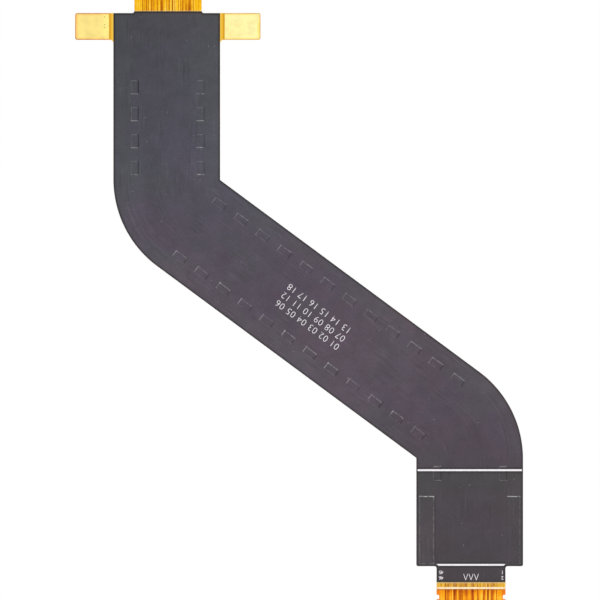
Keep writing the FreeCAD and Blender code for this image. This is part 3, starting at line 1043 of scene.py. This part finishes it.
def ink_material(name, full, thin, tint, uneven):
    """Screen-printed ink between its full and its thin colour, with an uneven tint along the line."""
    s = Shader(name, specular=0.3)
    tone = s.mix(s.pattern("thin ink"), full, thin)
    tone = s.mix(s.times(s.pattern("tinted ink"), uneven), tone, tint)
    return s.finish(tone, s.relief("ink texture"), ink_roughness)


def edge_material(name):
    """Edge and rear of the amber carrier film, browner in places and paler round the right tab."""
    s = Shader(name)
    tone = s.mix(s.pattern("carrier mottling"), *carrier_tones)
    tone = s.mix(s.pattern("carrier stains"), tone, carrier_stain_tone)
    tone = s.mix(s.reach(s.x, *right_tab_span), tone, right_tab_tone)
    return s.finish(tone, s.relief("carrier texture"), carrier_roughness)


# Printed ink: height over the film, depth into its waves, and a digit's share of the font size
ink_height = 0.008
ink_depth = 0.006
digit_share = 0.72
curve_steps = 3
join_reach = 1e-4


def printed_text(name, text, height, middle, angle, weight, spacing):
    """Raised ink digits, centred on a place on the film."""
    curve = bpy.data.curves.new(name, "FONT")
    curve.body = text
    curve.size = height / digit_share
    curve.offset = weight * curve.size
    curve.align_x = "CENTER"
    curve.align_y = "CENTER"
    curve.space_character = spacing
    curve.resolution_u = curve_steps
    holder = placed(name + "_curve", curve)
    bpy.context.view_layer.update()
    flat = bpy.data.meshes.new_from_object(holder)
    bpy.data.objects.remove(holder)
    return raised_print(name, flat, middle, angle)


def raised_print(name, flat, middle, angle):
    """Turns a flat mesh drawn in millimetres into ink of its real thickness on the film."""
    shape = bmesh.new()
    shape.from_mesh(flat)
    bmesh.ops.remove_doubles(shape, verts=shape.verts, dist=join_reach)
    cos, sin = math.cos(angle), math.sin(angle)
    for vert in shape.verts:
        x, y = vert.co.x, vert.co.y
        vert.co = Vector((middle.x + x * cos - y * sin, middle.y + x * sin + y * cos, film_top - ink_depth))
    made = bmesh.ops.extrude_face_region(shape, geom=shape.faces[:])
    for item in made["geom"]:
        if isinstance(item, bmesh.types.BMVert):
            item.co.z = film_top + ink_height
    bmesh.ops.recalc_face_normals(shape, faces=shape.faces)
    bmesh.ops.scale(shape, vec=(MM, MM, MM), verts=shape.verts)
    mesh = bpy.data.meshes.new(name)
    shape.to_mesh(mesh)
    shape.free()
    return placed(name, mesh)


def chevrons(name, middle, width, height, stroke, gap, count):
    """Row of chevrons that point to the tip."""
    verts, faces = [], []
    for index in range(count):
        shift = (index - (count - 1) / 2) * (width + gap)
        start = len(verts)
        for x, y in ((-width / 2, height / 2), (0, -height / 2), (width / 2, height / 2)):
            verts += [(x + shift, y, 0), (x + shift, y - stroke, 0)]
        faces += [(start, start + 1, start + 3, start + 2), (start + 2, start + 3, start + 5, start + 4)]
    flat = bpy.data.meshes.new(name + "_flat")
    flat.from_pydata(verts, [], faces)
    return raised_print(name, flat, middle, 0.0)


def painted(piece, material):
    piece.data.materials.clear()
    piece.data.materials.append(material)


def dressed(piece, material, slot, *replaced):
    """Gives a piece its material and body, and hides the nodes that it stands for. The slot is not used."""
    painted(piece, material)
    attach(piece, "root")
    if replaced:
        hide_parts(*replaced)


def repaint(material, *nodes):
    """Gives nodes of the construction their finish."""
    for node in nodes:
        painted(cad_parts[node], material)


# Sheets that stand for the films
front_tones = [
    (0.0, (50, 44, 49)), (0.1, (57, 49, 58)), (0.19, (57, 53, 58)),
    (0.2, (63, 53, 65)), (0.3, (70, 61, 74)), (0.4, (77, 68, 80)),
    (0.5, (74, 65, 78)), (0.62, (73, 67, 80)), (0.75, (69, 67, 79)),
    (0.93, (65, 64, 74)), (1.0, (64, 63, 69)),
]
rear_tones = [(0.0, (63, 59, 65)), (1.0, (69, 65, 73))]
amber_tones = [
    (0.0, (172, 92, 4)), (0.25, (200, 116, 8)), (0.5, (234, 162, 22)),
    (0.75, (255, 196, 22)), (1.0, (255, 226, 108)),
]
plate_tones = [
    (0.0, (140, 50, 8)), (0.25, (192, 86, 16)), (0.5, (230, 134, 10)),
    (0.75, (252, 164, 18)), (1.0, (255, 198, 60)),
]
film = film_material("shield_film_front", front_tones, True)
rear = film_material("shield_film_rear", rear_tones, False)
amber = cover_material("cover_film_over_copper", amber_tones, 0.05, 0.4, 1.0, True)
dressed(front_film(), film, "shield_film", "front_shield_film")
dressed(rear_film(), rear, "shield_film", "rear_shield_film")
dressed(front_cover(), amber, "cover_film", "front_coverlay")

# Nodes of the construction that stay
copper = copper_material("rolled_copper")
ink = ink_material("white_print", (248, 246, 248), (230, 226, 232), (236, 228, 236), 0.5)
cream = ink_material("cream_print", (254, 242, 206), (250, 226, 184), (252, 206, 160), 0.6)
plate = cover_material("stiffener_over_copper", plate_tones, 0.09, 0.42, 1.22, False)
repaint(amber, "rear_coverlay")
repaint(edge_material("carrier_film"), "base_film")
repaint(plate, "panel_stiffener", "set_stiffener")
repaint(gold_material("immersion_gold_pads", True), "left_tab_plating", "right_tab_plating")
repaint(gold_material("immersion_gold", False), "panel_contact_plating", "set_contact_plating")
repaint(ink, "fold_line", "tail_line")
repaint(cream, "panel_insertion_line", "set_insertion_line")
repaint(copper, "signal_conductors", "supply_conductors", "left_rear_ground", "right_rear_ground")
repaint(copper, "left_front_ground", "right_front_ground", "ground_vias")

# Plain numbers in three rows on the diagonal run, read from its lower end
row_count = 3
row_numbers = 6
row_height = 1.6
row_pitch = 2.27
row_station = diagonal_start + 35.0
row_lane = 12.2
row_angle = math.atan2(-along.y, -along.x)
row_weight = -0.014
row_spacing = 1.06
for index in range(row_count):
    first = index * row_numbers + 1
    text = " ".join(f"{number:02d}" for number in range(first, first + row_numbers))
    name = f"printed_row_{index + 1}"
    place = route_point(row_station, row_lane + (1 - index) * row_pitch)
    digits = printed_text(name, text, row_height, place, row_angle, row_weight, row_spacing)
    dressed(digits, ink, "white_ink")

# Contact numbers and chevrons on the set tail
pin_height = 0.8
pin_weight = 0.01
pin_spacing = 0.9
left, right = set_tail - 6.74, set_tail + 7.05
upper, lower = body_bottom - 1.34, body_bottom - 2.6
for text, x, y in (("45", left, upper), ("46", left, lower), ("1", right, upper), ("2", right, lower)):
    name = f"contact_number_{text}"
    number = printed_text(name, text, pin_height, Vector((x, y)), math.pi, pin_weight, pin_spacing)
    dressed(number, ink, "white_ink")
mark_place = Vector((set_tail, body_bottom - 2.25))
marks = chevrons("insertion_chevrons", mark_place, width=0.95, height=1.3, stroke=0.32, gap=0.25, count=3)
dressed(marks, ink, "white_ink")


def stage_floor(reach, level, grey, glow_share, glow_strength):
    """Pale floor under the cable that shows white and keeps a soft shadow."""
    mesh = bpy.data.meshes.new("floor")
    corners = ((-1, -1), (1, -1), (1, 1), (-1, 1))
    mesh.from_pydata([(x * reach, y * reach, level * MM) for x, y in corners], [], [(0, 1, 2, 3)])
    material = bpy.data.materials.new("pale_floor")
    material.use_nodes = True
    tree = material.node_tree
    tree.nodes.clear()
    seen = new_node(tree, "LightPath").outputs["Is Camera Ray"]
    share = new_node(tree, "Math", seen, glow_share, operation="MULTIPLY")
    diffuse = new_node(tree, "BsdfDiffuse", (grey, grey, grey, 1.0))
    glow = new_node(tree, "Emission", (1.0, 1.0, 1.0, 1.0), glow_strength)
    mix = new_node(tree, "MixShader", share.outputs[0], diffuse.outputs[0], glow.outputs[0])
    new_node(tree, "OutputMaterial", mix.outputs[0])
    mesh.materials.append(material)
    floor = placed("floor", mesh)


def studio_world(strength, mirrored):
    """Even surroundings, plain white to the camera and with their own strength in shiny surfaces."""
    world = bpy.data.worlds.new("studio")
    bpy.context.scene.world = world
    world.use_nodes = True
    tree = world.node_tree
    background = tree.nodes["Background"]
    background.inputs["Color"].default_value = (1.0, 1.0, 1.0, 1.0)
    rays = new_node(tree, "LightPath").outputs
    shiny = new_node(tree, "MapRange", rays["Is Glossy Ray"], 0.0, 1.0, strength, mirrored)
    level = new_node(tree, "MapRange", rays["Is Camera Ray"], 0.0, 1.0, shiny.outputs[0], 1.0)
    tree.links.new(level.outputs[0], background.inputs["Strength"])


def soft_box(name, azimuth, elevation, distance, size, power):
    """Square lamp that looks at the cable from a compass direction, clockwise from +Y."""
    lamp = bpy.data.lights.new(name, "AREA")
    lamp.shape = "SQUARE"
    lamp.size = size
    lamp.energy = power
    holder = placed(name, lamp)
    heading, rise = math.radians(azimuth), math.radians(elevation)
    flat = math.cos(rise)
    direction = Vector((math.sin(heading) * flat, math.cos(heading) * flat, math.sin(rise)))
    holder.location = direction * distance
    holder.rotation_mode = "QUATERNION"
    holder.rotation_quaternion = direction.to_track_quat("Z", "Y")


def photo_camera(lens, sensor, view_width, centre):
    """Camera straight above a place, framed as the photograph."""
    camera = bpy.data.cameras.new("camera")
    camera.lens = lens
    camera.sensor_width = sensor
    camera.clip_start = 0.05
    camera.clip_end = 20.0
    holder = placed("camera", camera)
    distance = view_width * lens / sensor
    holder.location = (centre.x * MM, centre.y * MM, (film_top + distance) * MM)
    bpy.context.scene.camera = holder


stage_floor(reach=3.0, level=-0.012, grey=0.9, glow_share=0.85, glow_strength=1.02)
studio_world(strength=0.5, mirrored=0.75)
soft_box("key_lamp", azimuth=162, elevation=58, distance=1.6, size=0.9, power=17.0)
photo_camera(lens=300.0, sensor=36.0, view_width=135.0, centre=Vector((0.203, -2.08)))
bpy.context.scene.view_settings.view_transform = "Standard"
